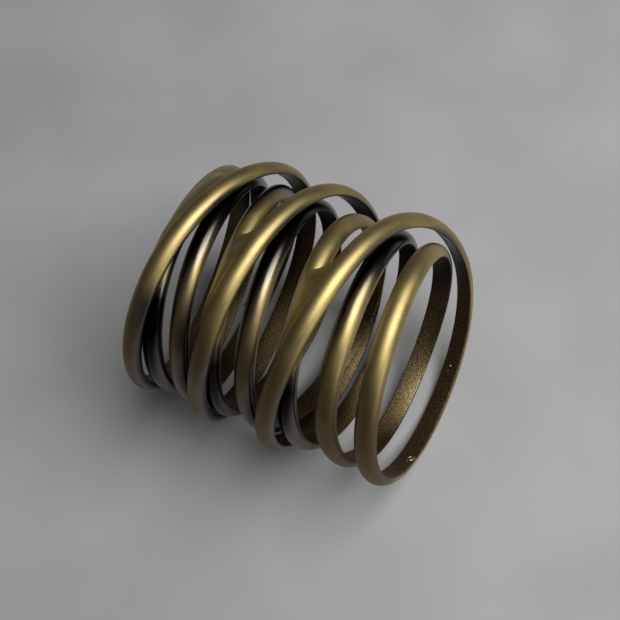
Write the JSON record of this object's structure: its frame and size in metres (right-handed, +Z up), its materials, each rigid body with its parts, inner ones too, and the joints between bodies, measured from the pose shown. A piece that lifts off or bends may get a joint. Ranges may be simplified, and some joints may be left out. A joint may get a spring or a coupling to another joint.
{
  "type": "wire wrap finger ring",
  "caption": "Wide finger ring wound from half-round antiqued brass wire: close inner turns with long open turns wrapped over them, lying on its side.",
  "frame": {"origin": "on the surface that the ring lies on, under the middle of its outline", "axes": "+Z up; +X along the finger hole towards the end where the wire is brazed; the ring lies on its side"},
  "size_m": [0.0258, 0.0234, 0.0232],
  "materials": {
    "wire": "antiqued satin, dark in the recesses",
    "braze": "dull, oxidised",
    "solder": "satin"
  },
  "bodies": {
    "root": {"inner_turn_1": "wire", "inner_turn_2": "wire", "inner_turn_3": "wire", "inner_turn_4": "wire", "inner_turn_5": "wire", "inner_turn_6": "wire", "inner_turn_7": "wire", "outer_turn_1": "wire", "outer_turn_2": "wire", "outer_turn_3": "wire", "end_seam": "braze", "solder_tack_1": "solder", "solder_tack_2": "solder", "solder_tack_3": "solder"}
  },
  "joints": []
}
